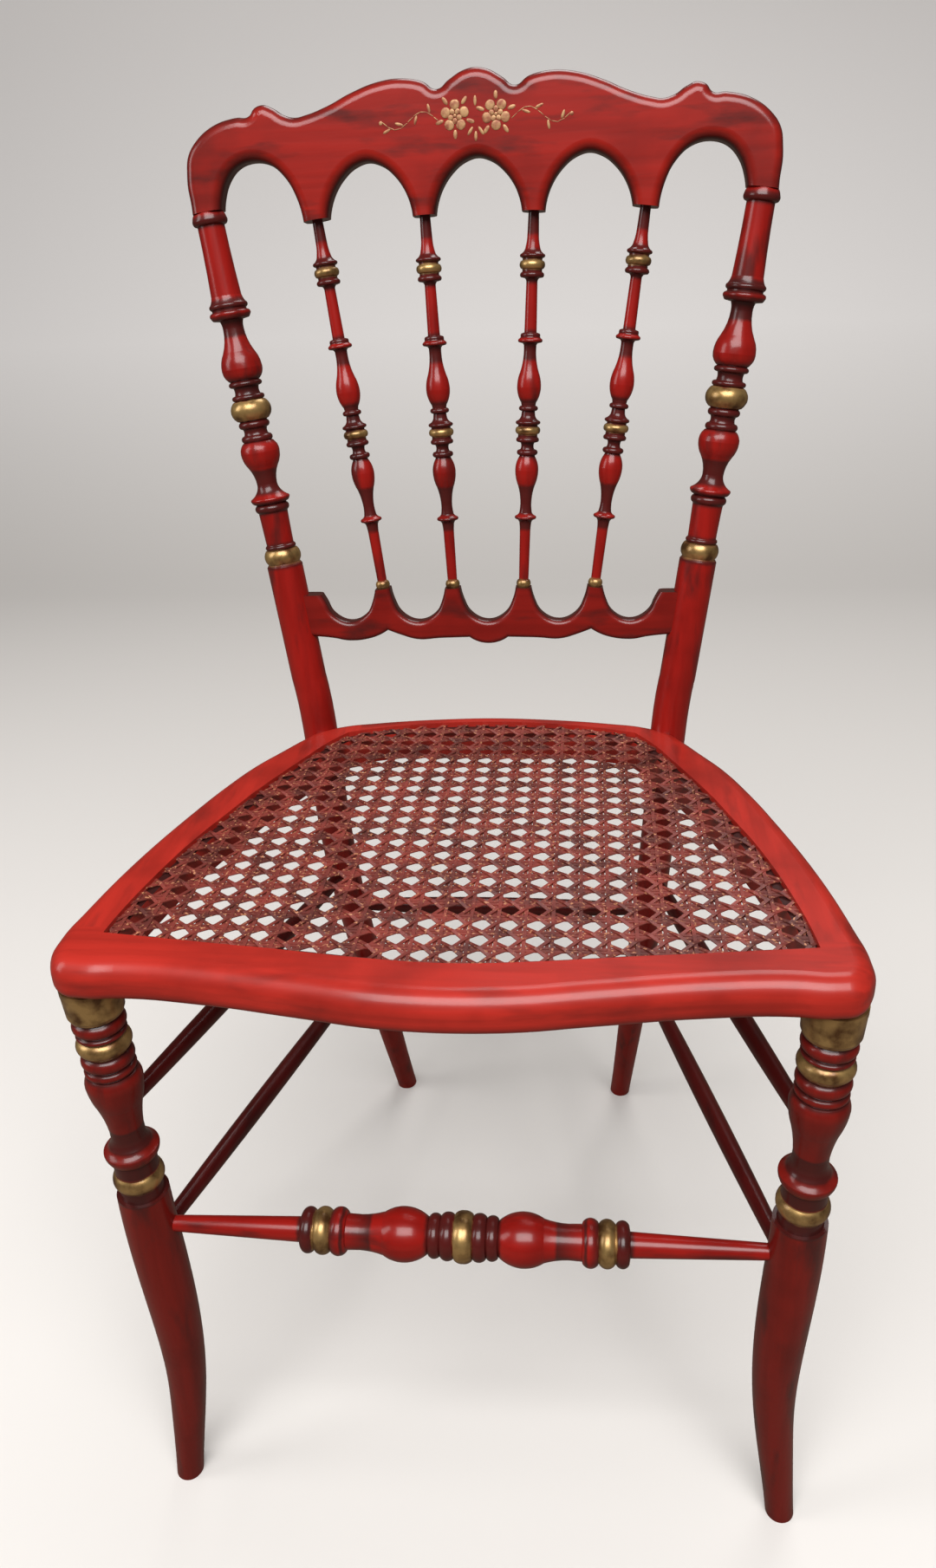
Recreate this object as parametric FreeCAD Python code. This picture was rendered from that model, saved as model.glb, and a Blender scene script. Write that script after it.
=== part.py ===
import FreeCAD, Part
import math
import os
from FreeCAD import Placement, Rotation, Vector

# A ballroom chair with turned posts, four spindles and a caned seat.
# Millimetres, +Z up, the sitter faces -Y, origin on the floor under the middle of the chair.

# Driving sizes of the whole chair
seat_height = 457.0
seat_width = 451.0
seat_depth = 374.0
overall_depth = 470.5
back_height = 442.0
back_rake_deg = 5.0
post_splay = 0.132

# Seat frame
frame_thick = 25.5
frame_round = 12.0
frame_under_round = 9.0
rebate_wide = 6.0
rebate_deep = 4.0
cane_thick = 2.6
cane_edge_gap = 0.4
cane_margin = 3.0
holes_across = 22
hole_sides = 8
hole_share = 0.36

# Round posts, legs and rods
post_radius = 13.3
post_turned_radius = 14.65
rear_foot_radius = 9.5
rear_foot_x = 111.0
front_leg_radius = 17.3
front_leg_inset = 19.0
front_leg_setback = 42.5
front_leg_lean = 0.030
front_shoulder_height = 271.0
front_foot_radius = 9.5
front_foot_kick = 9.0
front_foot_forward = 4.0
spindle_radius = 8.8
rod_end_radius = 4.8
side_rod_radius = 6.8
rear_rod_radius = 8.0
front_stretcher_radius = 16.5

# Heights of the rods on the legs
upper_rod_front_height = 338.0
upper_rod_rear_height = 322.0
lower_rod_front_height = 229.0
lower_rod_rear_height = 206.0
rear_rod_height = 284.0
front_stretcher_height = 244.0

# Boards of the back
crest_thick = 21.0
crest_round = 6.5
crest_height = 76.0
crest_end_wide = 21.5
pendant_drop = 7.5
pendant_outer_wide = 16.5
pendant_inner_wide = 15.0
outer_arch_height = 36.5
inner_arch_height = 33.2
rail_thick = 15.0
rail_round = 4.0
rail_base_height = 71.3
rail_height = 37.6
upstand_wide = 10.6
end_block_wide = 6.7
rail_drop = 4.4

# Joints
glue_gap = 0.1
post_tenon_radius = 6.0
post_tenon_long = 24.0
spindle_tenon_radius = 3.0
spindle_tenon_long = 14.0
leg_tenon_radius = 9.0
leg_tenon_long = 20.0
frame_tenon_thick = 10.0
side_tenon_wide = 17.0
side_tenon_long = 30.0
back_tenon_wide = 10.0
back_tenon_long = 16.0
rail_tenon_thick = 7.0
rail_tenon_tall = 22.0
rail_tenon_long = 9.0
dowel_radius = 4.0
dowel_in_post = 9.0
dowel_in_frame = 24.0
rod_end_stop = 7.0
trim_allowance = 4.0
foot_overrun = 14.0

# Shares of the sizes above, chosen by hand
post_x_share = 0.605
post_y_share = 0.9356
post_shoulder_share = 0.2872
spindle_top_shares = (0.198, 0.597)
spindle_foot_shares = (0.175, 0.524)
leg_join_share = 0.09
front_joint_share = 0.161
back_joint_share = 0.455
side_tenon_share = 0.16

# Outlines of the seat, x of half the width, y of the depth from the front
seat_outer_shares = [
    (0.0, 1.0), (0.197, 0.992), (0.394, 0.973), (0.53, 0.951), (0.617, 0.917), (0.663, 0.873),
    (0.707, 0.823), (0.770, 0.749), (0.834, 0.642), (0.884, 0.535), (0.928, 0.428), (0.963, 0.321),
    (0.988, 0.215), (1.0, 0.150), (0.992, 0.098), (0.955, 0.064), (0.890, 0.055), (0.805, 0.058),
    (0.569, 0.046), (0.359, 0.025), (0.158, 0.005), (0.0, 0.0)]
cane_back_shares = [(0.490, 0.900), (0.225, 0.945), (0.0, 0.955)]
cane_side_shares = [
    (0.490, 0.900), (0.552, 0.838), (0.600, 0.770), (0.645, 0.705), (0.697, 0.625), (0.745, 0.535),
    (0.789, 0.450), (0.826, 0.359), (0.850, 0.282), (0.868, 0.211), (0.878, 0.146)]
cane_front_shares = [
    (0.878, 0.146), (0.770, 0.138), (0.663, 0.130), (0.555, 0.122), (0.449, 0.115), (0.342, 0.106),
    (0.226, 0.097), (0.0, 0.087)]

# Outline of the crest, x of its half width, height of its own height
crest_end_shares = [
    (0.9925, 0.0), (0.9985, 0.27), (0.985, 0.456), (0.942, 0.588), (0.881, 0.680), (0.810, 0.722),
    (0.7646, 0.728)]
crest_lobe_shares = [
    (0.7646, 0.728), (0.742, 0.788), (0.714, 0.808), (0.680, 0.778), (0.645, 0.724), (0.608, 0.700),
    (0.567, 0.717), (0.496, 0.773), (0.415, 0.860), (0.334, 0.925), (0.253, 0.948), (0.177, 0.918),
    (0.1266, 0.855)]
crest_centre_shares = [(0.1266, 0.855), (0.086, 0.921), (0.043, 0.979), (0.0, 1.0)]
outer_arch_shares = [
    (0.0, 0.0), (0.06, 0.35), (0.17, 0.68), (0.34, 0.92), (0.53, 1.0), (0.78, 0.90), (0.91, 0.68),
    (0.975, 0.43), (1.0, 0.206)]
inner_arch_shares = [
    (0.0, 0.0), (0.065, 0.40), (0.18, 0.70), (0.35, 0.93), (0.5, 1.0), (0.65, 0.93), (0.82, 0.70),
    (0.935, 0.40), (1.0, 0.0)]

# Outline of the lower rail
dip_shares = [(0.0, 1.0), (0.06, 0.66), (0.175, 0.27), (0.5, 0.0), (0.825, 0.27), (0.94, 0.66), (1.0, 1.0)]
dip_floor_share = 0.345
rail_under_shares = [
    (1.0, 0.055), (0.82, 0.010), (0.73, -0.048), (0.65, -0.027), (0.58, 0.048), (0.525, 0.165)]
rail_scallop_shares = [(0.525, 0.165), (0.457, 0.064), (0.39, -0.016), (0.23, -0.003), (0.10, 0.010)]

# Turned profiles: height along the axis, radius, bulge of the stretch that ends there
post_profile_shares = [
    (0.008, 0.810, 0.0), (0.050, 0.810, 0.120), (0.052, 0.690, 0.0), (0.066, 0.700, 0.080),
    (0.068, 0.690, 0.0), (0.165, 0.730, 0.0), (0.168, 0.770, 0.0), (0.189, 0.770, 0.090),
    (0.191, 0.740, 0.0), (0.194, 0.860, 0.0), (0.203, 0.970, 0.020), (0.210, 0.950, 0.020),
    (0.226, 0.640, -0.040), (0.250, 0.500, -0.035), (0.302, 0.740, -0.063), (0.345, 0.965, 0.060),
    (0.374, 0.760, 0.058), (0.376, 0.690, 0.0), (0.394, 0.690, 0.080), (0.396, 0.600, 0.0),
    (0.414, 0.600, -0.035), (0.416, 0.680, 0.0), (0.434, 0.680, 0.080), (0.436, 0.660, 0.0),
    (0.439, 0.780, 0.0), (0.493, 0.780, 0.215), (0.495, 0.690, 0.0), (0.509, 0.730, 0.085),
    (0.511, 0.620, 0.0), (0.532, 0.620, -0.030), (0.534, 0.730, 0.0), (0.548, 0.730, 0.080),
    (0.550, 0.700, 0.0), (0.552, 0.760, 0.0), (0.583, 0.985, 0.064), (0.630, 0.760, 0.060),
    (0.695, 0.495, -0.069), (0.717, 0.560, -0.020), (0.720, 0.860, 0.0), (0.727, 0.940, 0.010),
    (0.740, 0.920, 0.050), (0.743, 0.820, 0.0), (0.747, 0.820, 0.0), (0.749, 0.860, 0.0),
    (0.763, 0.850, 0.065), (0.782, 0.720, -0.020), (0.967, 0.630, -0.020), (0.970, 0.750, 0.0),
    (0.985, 0.800, 0.040), (1.000, 0.700, 0.020)]
spindle_profile_shares = [
    (0.000, 0.500, 0.0), (0.020, 0.500, 0.100), (0.022, 0.400, 0.0), (0.165, 0.440, 0.0),
    (0.188, 0.500, -0.010), (0.196, 0.640, -0.020), (0.198, 0.800, 0.0), (0.207, 0.800, 0.090),
    (0.216, 0.520, -0.050), (0.240, 0.450, -0.015), (0.292, 0.680, -0.058), (0.336, 0.940, 0.067),
    (0.373, 0.640, 0.079), (0.376, 0.620, 0.0), (0.378, 0.740, 0.0), (0.391, 0.740, 0.100),
    (0.393, 0.560, 0.0), (0.411, 0.560, -0.060), (0.413, 0.820, 0.0), (0.425, 0.820, 0.100),
    (0.427, 0.780, 0.0), (0.434, 0.780, 0.0), (0.436, 0.900, 0.0), (0.453, 0.900, 0.100),
    (0.455, 0.780, 0.0), (0.459, 0.780, 0.0), (0.461, 0.900, 0.0), (0.470, 0.900, 0.090),
    (0.484, 0.560, -0.080), (0.496, 0.520, 0.0), (0.498, 0.680, 0.0), (0.509, 0.680, 0.080),
    (0.511, 0.560, 0.0), (0.519, 0.600, 0.0), (0.560, 0.950, 0.088), (0.600, 0.730, 0.057),
    (0.655, 0.480, -0.063), (0.668, 0.490, 0.0), (0.674, 0.600, -0.020), (0.676, 0.860, 0.0),
    (0.686, 0.860, 0.100), (0.691, 0.760, -0.020), (0.699, 0.720, 0.030), (0.702, 0.480, 0.0),
    (0.830, 0.430, 0.0), (0.838, 0.560, -0.030), (0.840, 0.840, 0.0), (0.852, 0.840, 0.090),
    (0.854, 0.760, 0.0), (0.860, 0.760, 0.0), (0.862, 0.880, 0.0), (0.880, 0.880, 0.100),
    (0.882, 0.760, 0.0), (0.887, 0.760, 0.0), (0.889, 0.880, 0.0), (0.898, 0.880, 0.090),
    (0.914, 0.560, -0.080), (0.945, 0.440, -0.030), (1.000, 0.400, 0.0)]
leg_profile_shares = [
    (0.000, 0.800, 0.0), (0.050, 0.780, 0.0), (0.058, 0.790, 0.0), (0.124, 0.790, 0.130),
    (0.132, 0.770, 0.0), (0.190, 0.790, 0.0), (0.194, 0.840, 0.0), (0.208, 0.920, 0.015),
    (0.224, 0.970, 0.010), (0.238, 0.970, 0.010), (0.264, 0.730, -0.050), (0.300, 0.605, -0.030),
    (0.335, 0.600, 0.0), (0.460, 0.800, -0.030), (0.553, 0.980, 0.030), (0.604, 0.860, 0.050),
    (0.608, 0.790, 0.0), (0.612, 0.830, 0.0), (0.640, 0.830, 0.060), (0.643, 0.780, 0.0),
    (0.648, 0.800, 0.0), (0.698, 0.800, 0.110), (0.701, 0.760, 0.0), (0.710, 0.780, 0.0),
    (0.772, 0.780, 0.160), (0.775, 0.770, 0.0), (0.779, 0.810, 0.0), (0.797, 0.810, 0.050),
    (0.800, 0.770, 0.0), (0.805, 0.800, 0.0), (0.853, 0.800, 0.110), (0.857, 0.770, 0.0),
    (0.866, 0.780, 0.0), (0.870, 0.900, 0.0), (0.885, 0.960, 0.0), (1.000, 1.000, 0.0)]
stretcher_profile_shares = [
    (0.000, 0.950, 0.0), (0.027, 0.840, 0.040), (0.028, 0.760, 0.0), (0.070, 0.760, 0.120),
    (0.071, 0.700, 0.0), (0.107, 0.720, 0.110), (0.108, 0.640, 0.0), (0.249, 0.780, 0.290),
    (0.322, 0.640, -0.030), (0.364, 0.660, 0.0), (0.366, 0.740, 0.0), (0.414, 0.740, 0.150),
    (0.415, 0.700, 0.0), (0.466, 0.700, 0.180), (0.467, 0.700, 0.0), (0.508, 0.680, 0.160),
    (0.511, 0.470, 0.0)]

# Sabre legs: height, sideways or backward share of the kick, radius share of the whole taper
rear_leg_shares = [
    (0.875, -0.023, 0.97), (0.737, 0.0, 0.93), (0.613, 0.105, 0.86), (0.508, 0.245, 0.78),
    (0.263, 0.600, 0.45), (0.0, 1.0, 0.0)]
front_leg_shares = [
    (1.006, 0.0, 0.935), (0.853, -0.10, 0.965), (0.588, -0.40, 0.90), (0.360, -0.20, 0.755),
    (0.152, 0.48, 0.625)]

# Places that follow from the sizes
half_seat = seat_width / 2
front_y = -overall_depth / 2
post_x = post_x_share * half_seat
post_y = front_y + post_y_share * seat_depth
frame_bottom = seat_height - frame_thick
rear_foot_y = overall_depth / 2 - rear_foot_radius
front_leg_x = half_seat - front_leg_inset
front_leg_y = front_y + front_leg_setback
crest_seat = back_height - crest_height
post_shoulder = post_shoulder_share * back_height
pendant_level = crest_seat - pendant_drop
upstand_level = rail_base_height + rail_height
BACK = Placement(Vector(0, post_y, seat_height), Rotation(Vector(1, 0, 0), -back_rake_deg))


def post_line(side, up):
    return BACK.multVec(Vector(side * (post_x + post_splay * up), 0, up))


def post_direction(side):
    return BACK.Rotation.multVec(Vector(side * post_splay, 0, 1)).normalize()


def leg_line(side, height):
    drop = frame_bottom - height
    return Vector(side * (front_leg_x - front_leg_lean * drop), front_leg_y, height)


def spindle_ends(side, number):
    foot_x = spindle_foot_shares[number] * (post_x + post_splay * upstand_level)
    top_x = spindle_top_shares[number] * (post_x + post_splay * pendant_level)
    foot = BACK.multVec(Vector(side * foot_x, 0, upstand_level))
    top = BACK.multVec(Vector(side * top_x, 0, pendant_level))
    return foot, top


def line(first, last):
    return Part.LineSegment(first, last).toShape()


def arc(first, direction, last):
    chord = last - first
    ahead = Vector(chord).normalize()
    aside = direction - ahead * direction.dot(ahead)
    if aside.Length < 1e-4:
        return line(first, last)
    turn = math.atan2(aside.Length, direction.dot(ahead))
    middle = (first + last) / 2 + aside.normalize() * (chord.Length / 2 * math.tan(turn / 2))
    return Part.Arc(first, middle, last).toShape()


def through(before, point, after):
    back, ahead = point - before, after - point
    return (back / back.Length ** 2 + ahead / ahead.Length ** 2).normalize()


def end_direction(point, other, direction):
    ahead = (other - point).normalize()
    return ahead * (2 * ahead.dot(direction)) - direction


# A smooth run of arcs through the points, two arcs to each stretch
def curved(points, closed=False):
    if closed:
        points = points[-1:] + points + points[:2]
    inner = [through(*points[number - 1:number + 2]) for number in range(1, len(points) - 1)]
    if closed:
        points, headings = points[1:-1], inner
    else:
        first = end_direction(points[0], points[1], inner[0])
        last = end_direction(points[-1], points[-2], inner[-1] * -1) * -1
        headings = [first] + inner + [last]
    edges = []
    for number in range(len(points) - 1):
        start, end = points[number], points[number + 1]
        leave, arrive = headings[number], headings[number + 1]
        chord, both = end - start, leave + arrive
        bend = 2 * (1 - leave.dot(arrive))
        reach = chord.dot(chord) / (2 * chord.dot(both))
        if bend > 1e-6:
            reach = (math.sqrt(chord.dot(both) ** 2 + bend * chord.dot(chord)) - chord.dot(both)) / bend
        meet = (start + end + (leave - arrive) * reach) / 2
        edges.append(arc(start, leave, meet))
        edges.append(arc(end, arrive * -1, meet))
    return edges


def flipped(points):
    return [Vector(-point.x, point.y, point.z) for point in points]


# A run that is the same on both sides, its last point in the middle
def both_sides(points):
    return points + flipped(points[:-1])[::-1]


def face_of(edges):
    return Part.Face(Part.Wire(Part.__sortEdges__(edges)))


def prism(face, reach):
    solid = face.extrude(reach)
    if solid.Volume < 0:
        solid.reverse()
    return solid


def rod(radius, start, end):
    return Part.makeCylinder(radius, start.distanceToPoint(end), start, end - start)


def along(shape, start, direction):
    shape.Placement = Placement(start, Rotation(Vector(0, 0, 1), direction))
    return shape


def mirrored(shape):
    return shape.mirror(Vector(0, 0, 0), Vector(1, 0, 0))


def one_solid(shape):
    return max(shape.Solids, key=lambda solid: solid.Volume)


def turned(long, radius, rows):
    points = [Vector(row[1] * radius, 0, row[0] * long) for row in rows]
    edges = [line(Vector(0, 0, points[0].z), points[0])]
    for first, last, row in zip(points, points[1:], rows[1:]):
        if row[2] == 0:
            edges.append(line(first, last))
        else:
            middle = (first + last) / 2 + Vector(row[2] * radius, 0, 0)
            edges.append(Part.Arc(first, middle, last).toShape())
    edges.append(line(points[-1], Vector(0, 0, points[-1].z)))
    edges.append(line(Vector(0, 0, points[-1].z), Vector(0, 0, points[0].z)))
    face = Part.Face(Part.Wire(edges))
    return one_solid(face.revolve(Vector(0, 0, 0), Vector(0, 0, 1), 360))


# A leg along a curve, run past the floor and cut level there
def swept(points, radii, first_direction):
    curve = Part.BSplineCurve()
    curve.interpolate(points)
    wires = []
    for number, (point, radius) in enumerate(zip(points, radii)):
        direction = curve.tangent(curve.parameter(point))[0]
        if number == 0:
            direction = first_direction
        wires.append(Part.Wire(Part.Circle(point, direction, radius).toShape()))
    corner = Vector(-seat_width, -overall_depth, -seat_height)
    floor = Part.makeBox(2 * seat_width, 2 * overall_depth, seat_height, corner)
    return one_solid(Part.makeLoft(wires, True).cut(floor)), curve


def past_floor(points):
    ahead = points[-1] - points[-2]
    return points[-1] + ahead * (foot_overrun / ahead.Length)


def at_height(curve, height):
    low, high = curve.FirstParameter, curve.LastParameter
    while high - low > 1e-6:
        middle = (low + high) / 2
        if curve.value(middle).z > height:
            low = middle
        else:
            high = middle
    return curve.value(low)


# Seat frame
def seat_point(share, height):
    return Vector(share[0] * half_seat, front_y + share[1] * seat_depth, height)


def frame_blank():
    right = [seat_point(share, frame_bottom) for share in seat_outer_shares]
    face = face_of(curved(right + flipped(right[1:-1])[::-1], True))
    solid = prism(face, Vector(0, 0, frame_thick))
    rims = [edge for edge in solid.Edges if edge.BoundBox.ZLength < glue_gap]
    upper = [edge for edge in rims if edge.BoundBox.ZMin > frame_bottom + frame_thick / 2]
    solid = one_solid(solid.makeFillet(frame_round, upper))
    under = [edge for edge in solid.Edges if edge.BoundBox.ZMax < frame_bottom + glue_gap]
    return one_solid(solid.makeFillet(frame_under_round, under))


def opening_wire(height, inset):
    back = [seat_point(share, height) for share in cane_back_shares]
    side = [seat_point(share, height) for share in cane_side_shares]
    front = [seat_point(share, height) for share in cane_front_shares]
    edges = curved(both_sides(back)) + curved(side) + curved(both_sides(front)) + curved(flipped(side))
    wire = Part.Wire(Part.__sortEdges__(edges))
    if inset == 0:
        return wire
    return wire.makeOffset2D(-inset)


def ring_frame():
    top = Part.Face(opening_wire(seat_height - rebate_deep, 0))
    lower = Part.Face(opening_wire(frame_bottom - frame_thick, rebate_wide))
    ring = frame_blank().cut(prism(top, Vector(0, 0, frame_thick)))
    return one_solid(ring.cut(prism(lower, Vector(0, 0, 2 * frame_thick))))


front_joint_y = front_y + front_joint_share * seat_depth
back_joint_x = back_joint_share * half_seat
frame_middle = frame_bottom + frame_thick / 2
side_tenon_x = front_leg_x + side_tenon_share * front_leg_inset


def zone(x_low, x_high, y_low, y_high):
    corner = Vector(x_low, y_low, frame_bottom - frame_thick)
    return Part.makeBox(x_high - x_low, y_high - y_low, 3 * frame_thick, corner)


def side_tenon(gap):
    corner = Vector(
        side_tenon_x - side_tenon_wide / 2 - gap, front_joint_y - side_tenon_long - gap,
        frame_middle - frame_tenon_thick / 2 - gap)
    long = side_tenon_long + frame_thick
    return Part.makeBox(side_tenon_wide + 2 * gap, long + gap, frame_tenon_thick + 2 * gap, corner)


def back_tenon(gap):
    middle_y = front_y + (seat_outer_shares[3][1] + cane_back_shares[0][1]) / 2 * seat_depth
    start = back_joint_x - frame_thick
    corner = Vector(
        start, middle_y - back_tenon_wide / 2 - gap, frame_middle - frame_tenon_thick / 2 - gap)
    long = frame_thick + back_tenon_long + gap
    return Part.makeBox(long, back_tenon_wide + 2 * gap, frame_tenon_thick + 2 * gap, corner)


def leg_bore(side):
    start = leg_line(side, frame_bottom - frame_thick)
    end = leg_line(side, frame_bottom + leg_tenon_long)
    return rod(leg_tenon_radius + glue_gap, start, end)


def dowel_line():
    inward = Vector(-post_x / 2, -post_y, 0).normalize()
    middle = Vector(post_x, post_y, frame_middle) + inward * dowel_in_post / 2
    return middle - inward * dowel_in_post, middle + inward * dowel_in_frame


def dowel_bore():
    start, end = dowel_line()
    return rod(dowel_radius + glue_gap, start, end)


def seat_front_rail(ring):
    rail = ring.common(zone(-seat_width, seat_width, 2 * front_y, front_joint_y))
    for side in (-1, 1):
        rail = rail.cut(leg_bore(side))
    return one_solid(rail.cut(side_tenon(glue_gap)).cut(mirrored(side_tenon(glue_gap))))


def seat_back_rail(ring):
    rail = ring.common(zone(-back_joint_x, back_joint_x, 0, seat_depth))
    tongue = back_tenon(0).cut(zone(-seat_width, back_joint_x, 0, seat_depth))
    return one_solid(rail.fuse([tongue, mirrored(tongue)]))


def seat_side_rail(ring):
    rail = ring.common(zone(0, seat_width, front_joint_y, seat_depth))
    rail = rail.cut(zone(0, back_joint_x, 0, seat_depth)).cut(back_tenon(glue_gap)).cut(dowel_bore())
    tongue = side_tenon(0).cut(zone(0, seat_width, front_joint_y, seat_depth)).cut(leg_bore(1))
    return one_solid(rail.fuse(tongue))


def cane_panel():
    level = seat_height - rebate_deep
    rim = opening_wire(level, cane_edge_gap)
    clear = Part.Face(opening_wire(level, rebate_wide + cane_margin))
    box = clear.BoundBox
    pitch = box.XLength / holes_across
    radius = hole_share * pitch
    corners = []
    for turn in range(hole_sides):
        angle = math.tau * (turn + 1 / 2) / hole_sides
        corners.append(Vector(radius * math.cos(angle), radius * math.sin(angle), 0))
    wires = [rim]
    for row in range(int(box.YLength / pitch) + 1):
        for column in range(-holes_across // 2, holes_across // 2 + 1):
            middle = Vector(column * pitch, box.YMin + (row + 1 / 2) * pitch, level)
            points = [middle + corner for corner in corners]
            if all(clear.isInside(point, glue_gap, True) for point in points):
                wires.append(Part.makePolygon(points + points[:1]))
    net = Part.makeFace(wires, "Part::FaceMakerBullseye")
    return one_solid(prism(net, Vector(0, 0, cane_thick)))


# Legs
def front_leg():
    shoulder = leg_line(1, front_shoulder_height)
    axis = (leg_line(1, frame_bottom) - shoulder).normalize()
    tall = shoulder.distanceToPoint(leg_line(1, frame_bottom))
    upper = along(turned(tall, front_leg_radius, leg_profile_shares), shoulder, axis)
    neck = rod(front_leg_radius, leg_line(1, frame_bottom - trim_allowance), leg_line(1, seat_height))
    above = zone(0, seat_width, 2 * front_y, 0)
    above.translate(Vector(0, 0, frame_thick))
    upper = upper.fuse(neck).cut(above)
    points, radii = [], []
    for height, kick, radius in front_leg_shares:
        level = height * front_shoulder_height
        start = leg_line(1, max(level, front_shoulder_height))
        forward = front_foot_forward * max(kick, 0)
        points.append(Vector(start.x + kick * front_foot_kick, start.y - forward, level))
        radii.append(radius * front_leg_radius)
    points.append(Vector(shoulder.x + front_foot_kick, shoulder.y - front_foot_forward, 0))
    points.append(past_floor(points))
    radii += [front_foot_radius, front_foot_radius]
    sabre, curve = swept(points, radii, Vector(0, 0, -1))
    tenon = rod(leg_tenon_radius, leg_line(1, frame_bottom - trim_allowance),
                leg_line(1, frame_bottom + leg_tenon_long))
    return one_solid(upper.fuse([sabre, tenon]).removeSplitter()), curve


def rear_leg():
    join = leg_join_share * back_height
    points = [post_line(1, join), post_line(1, 0)]
    radii = [post_radius, post_radius]
    for height, kick, radius in rear_leg_shares:
        x = rear_foot_x + (post_x - rear_foot_x) * height
        points.append(Vector(x, post_y + kick * (rear_foot_y - post_y), height * seat_height))
        radii.append(rear_foot_radius + radius * (post_radius - rear_foot_radius))
    points.append(past_floor(points))
    radii.append(rear_foot_radius)
    return swept(points, radii, post_direction(1) * -1)


def rear_post(ring):
    leg, curve = rear_leg()
    axis = post_direction(1)
    join = post_line(1, leg_join_share * back_height)
    shoulder = post_line(1, post_shoulder)
    top = post_line(1, crest_seat)
    rows = [(0.0, post_radius / post_turned_radius, 0.0)] + post_profile_shares
    shaft = turned(shoulder.distanceToPoint(top), post_turned_radius, rows)
    tenon = rod(post_tenon_radius, post_line(1, crest_seat - trim_allowance),
                top + axis * post_tenon_long)
    post = leg.fuse([rod(post_radius, join, shoulder), along(shaft, shoulder, axis), tenon])
    post = post.removeSplitter().cut(ring).cut(dowel_bore())
    return one_solid(post.cut(rail_tenon(glue_gap))), curve


def post_envelope():
    return rod(post_radius, post_line(1, 0), post_line(1, post_shoulder))


# Rods between the legs
def swelled_rod(start, end, radius):
    end_share = rod_end_radius / radius
    rows = [(0.0, end_share, 0.0), (1.0, end_share, 1 - end_share)]
    return along(turned(start.distanceToPoint(end), radius, rows), start, end - start)


def socket_bore(start, end):
    return rod(rod_end_radius + glue_gap, start, end)


def front_stretcher():
    end = leg_line(1, front_stretcher_height)
    tip = (end.x - rod_end_stop) / end.x
    rows = stretcher_profile_shares + [(tip, rod_end_radius / front_stretcher_radius, 0.0)]
    half = turned(end.x, front_stretcher_radius, rows)
    half = along(half, Vector(0, end.y, end.z), Vector(1, 0, 0))
    return one_solid(half.fuse(mirrored(half)).removeSplitter())


# Boards of the back
def crest_point(share, half):
    return Vector(share[0] * half, 0, crest_seat + share[1] * crest_height)


def pendant_x(number):
    return spindle_top_shares[number] * (post_x + post_splay * pendant_level)


def arch(x_low, x_high, tall, rows):
    low = pendant_level - trim_allowance
    wide = x_high - x_low
    points = [Vector(x_low + row[0] * wide, 0, pendant_level + row[1] * tall) for row in rows]
    points[0] = Vector(x_low, 0, low)
    points[-1] = Vector(x_high, 0, points[-1].z if points[-1].z > pendant_level else low)
    return points


def crest_rail():
    end_x = post_x + post_splay * crest_seat
    half = end_x + crest_end_wide / 2 + glue_gap
    outer = [crest_point(share, half) for share in crest_end_shares]
    low_end = Vector(outer[0].x, 0, crest_seat - trim_allowance)
    inner_end = Vector(end_x - crest_end_wide / 2, 0, crest_seat - trim_allowance)
    lobe = [crest_point(share, half) for share in crest_lobe_shares]
    centre = [crest_point(share, half) for share in crest_centre_shares]
    wide = (pendant_inner_wide / 2, pendant_outer_wide / 2)
    outer_arch = arch(pendant_x(1) + wide[1], inner_end.x, outer_arch_height, outer_arch_shares)
    outer_arch[-1] = Vector(inner_end.x, 0, crest_seat)
    inner_arch = arch(
        pendant_x(0) + wide[0], pendant_x(1) - wide[1], inner_arch_height, inner_arch_shares)
    middle_arch = arch(
        -pendant_x(0) + wide[0], pendant_x(0) - wide[0], inner_arch_height, inner_arch_shares)
    top = [low_end] + outer + lobe[1:] + centre[1:]
    right = [
        line(inner_end, low_end), line(outer_arch[0], inner_arch[-1]),
        line(inner_arch[0], middle_arch[-1])]
    right += curved(outer_arch + [inner_end]) + curved(inner_arch)
    whole = right + [mirrored(edge) for edge in right]
    whole += curved(both_sides(top)) + curved(middle_arch)
    board = prism(face_of(whole), Vector(0, crest_thick, 0))
    board.translate(Vector(0, -crest_thick / 2, 0))
    return rounded(board, crest_thick, crest_round)


def rounded(board, thick, radius):
    rims = []
    for edge in board.Edges:
        box = edge.BoundBox
        on_face = box.YLength < glue_gap and abs(abs(box.YMin) - thick / 2) < glue_gap
        flat_end = box.ZLength < glue_gap
        if on_face and not flat_end:
            rims.append(edge)
    return board.makeFillet(radius, rims)


def crest_finished():
    board = crest_rail()
    board.Placement = BACK
    for side in (-1, 1):
        seat = post_line(side, crest_seat)
        axis = post_direction(side)
        board = board.cut(rod(2 * post_radius, seat, seat - axis * 3 * trim_allowance))
        board = board.cut(rod(post_tenon_radius + glue_gap, seat, seat + axis * post_tenon_long))
        for number in range(2):
            foot, top = spindle_ends(side, number)
            axis = (top - foot).normalize()
            board = board.cut(rod(crest_thick, top, top - axis * 3 * trim_allowance))
            board = board.cut(rod(spindle_tenon_radius + glue_gap, top, top + axis * spindle_tenon_long))
    return one_solid(board)


def upstand_x(number):
    return spindle_foot_shares[number] * (post_x + post_splay * upstand_level)


def dip(x_low, x_high):
    floor = rail_base_height + dip_floor_share * rail_height
    tall = rail_height * (1 - dip_floor_share)
    wide = x_high - x_low
    points = [Vector(x_low + row[0] * wide, 0, floor + row[1] * tall) for row in dip_shares]
    points[0].z += trim_allowance
    points[-1].z += trim_allowance
    return points


def rail_point(share, half):
    return Vector(share[0] * half, 0, rail_base_height + share[1] * rail_height)


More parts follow.
